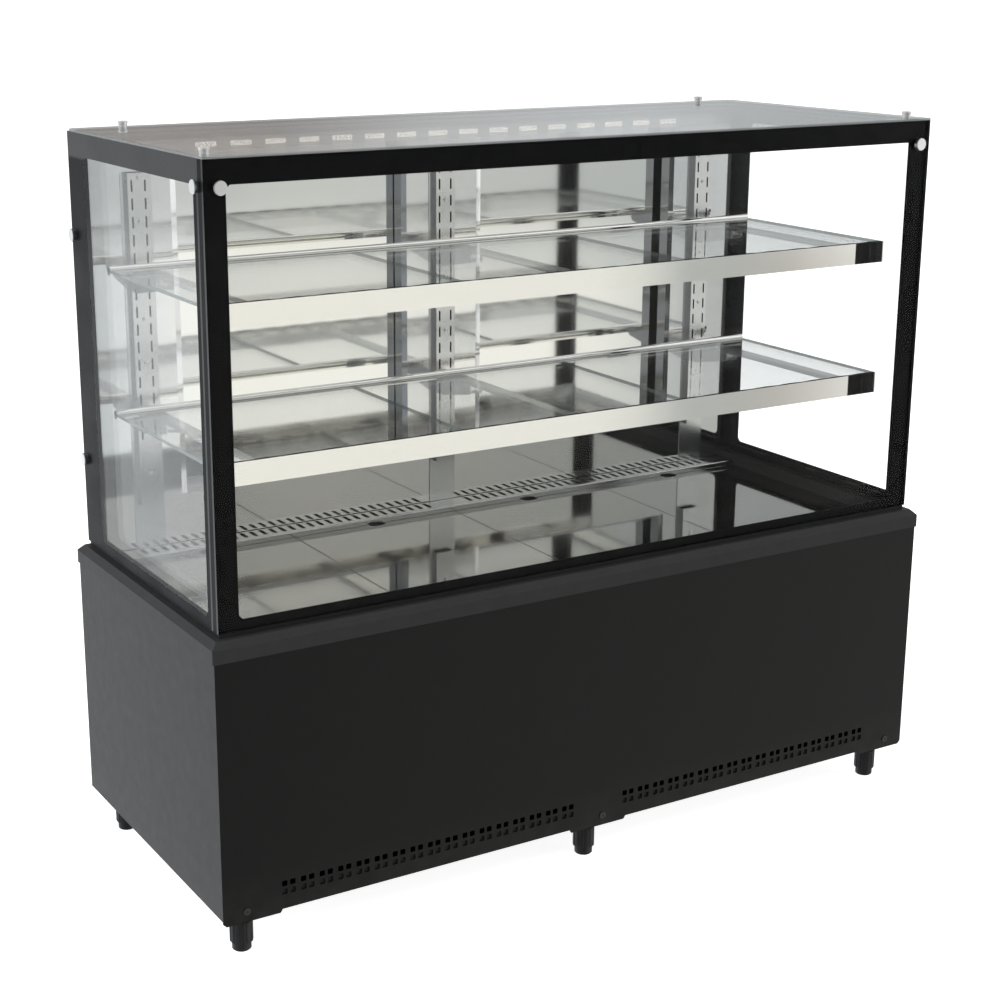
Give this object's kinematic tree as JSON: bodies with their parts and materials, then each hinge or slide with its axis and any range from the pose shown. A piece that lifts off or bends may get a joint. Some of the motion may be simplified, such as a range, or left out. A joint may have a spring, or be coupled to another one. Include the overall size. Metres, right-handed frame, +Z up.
{
  "type": "refrigerated deli display case",
  "caption": "Floor-standing refrigerated deli case with a double-glazed glass box, hooked glass shelves, mirrored sliding rear doors and a black base on levelling feet.",
  "frame": {"origin": "on the floor, under the middle of the footprint", "axes": "+X along the customer side to its right, +Y to the serving side, +Z up"},
  "size_m": [1.5, 0.623, 1.332],
  "materials": {
    "cladding_black": "satin powder coat",
    "frame_paint": "matt paint",
    "ledge_grey": "satin powder coat",
    "galvanised": "zinc plated",
    "rubber_black": "matt",
    "foot_plastic": "moulded",
    "clear_glass": "clear, polished edges",
    "border_black": "printed border and spacer",
    "cap_steel": "turned, satin",
    "polished_steel": "polished",
    "satin_steel": "brushed",
    "deck_grey": "satin",
    "door_aluminium": "anodised",
    "mirror": "silvered",
    "fitting_plastic": "moulded",
    "tub_plastic": "foamed liner",
    "led_lens": "opal lens on white carrier",
    "coil_aluminium": "bare fins",
    "compressor_black": "stove enamel",
    "copper": "drawn copper tube",
    "button_rubber": "matt",
    "rocker_plastic": "gloss",
    "tray_plastic": "moulded"
  },
  "bodies": {
    "cabinet": {"chassis_frame": "frame_paint", "base_tray": "frame_paint", "front_panel": "cladding_black", "side_panels": "cladding_black", "rear_panel": "cladding_black", "ledge_rim": "ledge_grey", "glass_gasket": "rubber_black", "foot_mounts": "galvanised", "front_glass": "clear_glass", "front_glass_border": "border_black", "side_glass": "clear_glass", "side_glass_borders": "border_black", "top_glass": "clear_glass", "glass_clamps": "cap_steel", "glass_caps": "cap_steel", "sill_duct": "polished_steel", "rear_columns": "polished_steel", "shelf_standards": "satin_steel", "door_surround": "door_aluminium", "insulated_tub": "tub_plastic", "air_grille": "satin_steel", "top_light_bar": "led_lens", "evaporator": "coil_aluminium", "compressor": "compressor_black", "condenser": "coil_aluminium", "pipework": "copper", "control_box": "fitting_plastic", "panel_screws": "compressor_black"},
    "foot_front_left": {"foot_front_left": "foot_plastic"},
    "foot_front_centre": {"foot_front_centre": "foot_plastic"},
    "foot_front_right": {"foot_front_right": "foot_plastic"},
    "foot_rear_left": {"foot_rear_left": "foot_plastic"},
    "foot_rear_centre": {"foot_rear_centre": "foot_plastic"},
    "foot_rear_right": {"foot_rear_right": "foot_plastic"},
    "left_door": {"left_door_frame": "door_aluminium", "left_door_mirror": "mirror", "left_door_fittings": "fitting_plastic"},
    "right_door": {"right_door_frame": "door_aluminium", "right_door_mirror": "mirror", "right_door_fittings": "fitting_plastic"},
    "deck_1": {"deck_panel_1": "deck_grey"},
    "deck_2": {"deck_panel_2": "deck_grey"},
    "deck_3": {"deck_panel_3": "deck_grey"},
    "deck_4": {"deck_panel_4": "deck_grey"},
    "lower_shelf": {"lower_shelf_rails": "polished_steel", "lower_shelf_brackets": "satin_steel", "lower_shelf_glass": "clear_glass", "lower_shelf_leds": "led_lens"},
    "upper_shelf": {"upper_shelf_rails": "polished_steel", "upper_shelf_brackets": "satin_steel", "upper_shelf_glass": "clear_glass", "upper_shelf_leds": "led_lens"},
    "blower_wheel": {"evaporator_blower": "fitting_plastic"},
    "condenser_fan": {"condenser_fan": "fitting_plastic"},
    "condensate_tray": {"condensate_tray": "tray_plastic"},
    "service_panel": {"service_panel": "cladding_black"},
    "button_set": {"button_set": "button_rubber"},
    "button_up": {"button_up": "button_rubber"},
    "button_down": {"button_down": "button_rubber"},
    "rocker_switch": {"rocker_switch": "rocker_plastic"}
  },
  "joints": [
    {"name": "left_door_slide", "type": "slide", "parent": "cabinet", "child": "left_door", "axis": [1, 0, 0], "range_m": [0, 0.64]},
    {"name": "right_door_slide", "type": "slide", "parent": "cabinet", "child": "right_door", "axis": [-1, 0, 0], "range_m": [0, 0.64]},
    {"name": "foot_front_left_turn", "type": "hinge", "parent": "cabinet", "child": "foot_front_left", "pos_m": [-0.696, -0.264, 0.03], "axis": [0, 0, 1], "continuous": true},
    {"name": "foot_front_centre_turn", "type": "hinge", "parent": "cabinet", "child": "foot_front_centre", "pos_m": [0, -0.264, 0.03], "axis": [0, 0, 1], "continuous": true},
    {"name": "foot_front_right_turn", "type": "hinge", "parent": "cabinet", "child": "foot_front_right", "pos_m": [0.696, -0.264, 0.03], "axis": [0, 0, 1], "continuous": true},
    {"name": "foot_rear_left_turn", "type": "hinge", "parent": "cabinet", "child": "foot_rear_left", "pos_m": [-0.696, 0.266, 0.03], "axis": [0, 0, 1], "continuous": true},
    {"name": "foot_rear_centre_turn", "type": "hinge", "parent": "cabinet", "child": "foot_rear_centre", "pos_m": [0, 0.266, 0.03], "axis": [0, 0, 1], "continuous": true},
    {"name": "foot_rear_right_turn", "type": "hinge", "parent": "cabinet", "child": "foot_rear_right", "pos_m": [0.696, 0.266, 0.03], "axis": [0, 0, 1], "continuous": true},
    {"name": "deck_1_lift", "type": "slide", "parent": "cabinet", "child": "deck_1", "axis": [0, 0, 1], "range_m": [0, 0.15]},
    {"name": "deck_2_lift", "type": "slide", "parent": "cabinet", "child": "deck_2", "axis": [0, 0, 1], "range_m": [0, 0.15]},
    {"name": "deck_3_lift", "type": "slide", "parent": "cabinet", "child": "deck_3", "axis": [0, 0, 1], "range_m": [0, 0.15]},
    {"name": "deck_4_lift", "type": "slide", "parent": "cabinet", "child": "deck_4", "axis": [0, 0, 1], "range_m": [0, 0.15]},
    {"name": "lower_shelf_unhook", "type": "slide", "parent": "cabinet", "child": "lower_shelf", "axis": [0, 0, 1], "range_m": [0, 0.008]},
    {"name": "upper_shelf_unhook", "type": "slide", "parent": "cabinet", "child": "upper_shelf", "axis": [0, 0, 1], "range_m": [0, 0.008]},
    {"name": "blower_spin", "type": "hinge", "parent": "cabinet", "child": "blower_wheel", "pos_m": [0, 0.112, 0.452], "axis": [1, 0, 0], "continuous": true},
    {"name": "condenser_fan_spin", "type": "hinge", "parent": "cabinet", "child": "condenser_fan", "pos_m": [-0.45, -0.125, 0.205], "axis": [0, 1, 0], "continuous": true},
    {"name": "condensate_tray_slide", "type": "slide", "parent": "cabinet", "child": "condensate_tray", "axis": [0, 1, 0], "range_m": [0, 0.25]},
    {"name": "service_panel_slide", "type": "slide", "parent": "cabinet", "child": "service_panel", "axis": [0, 1, 0], "range_m": [0, 0.12]},
    {"name": "button_set_press", "type": "slide", "parent": "cabinet", "child": "button_set", "axis": [0, -1, 0], "range_m": [0, 0.001], "stiffness_N_per_m": 300, "springref_m": -0.001},
    {"name": "button_up_press", "type": "slide", "parent": "cabinet", "child": "button_up", "axis": [0, -1, 0], "range_m": [0, 0.001], "stiffness_N_per_m": 300, "springref_m": -0.001},
    {"name": "button_down_press", "type": "slide", "parent": "cabinet", "child": "button_down", "axis": [0, -1, 0], "range_m": [0, 0.001], "stiffness_N_per_m": 300, "springref_m": -0.001},
    {"name": "rocker_switch_rock", "type": "hinge", "parent": "cabinet", "child": "rocker_switch", "pos_m": [0.662, 0.3035, 0.222], "axis": [1, 0, 0], "range_deg": [0, 20]}
  ]
}
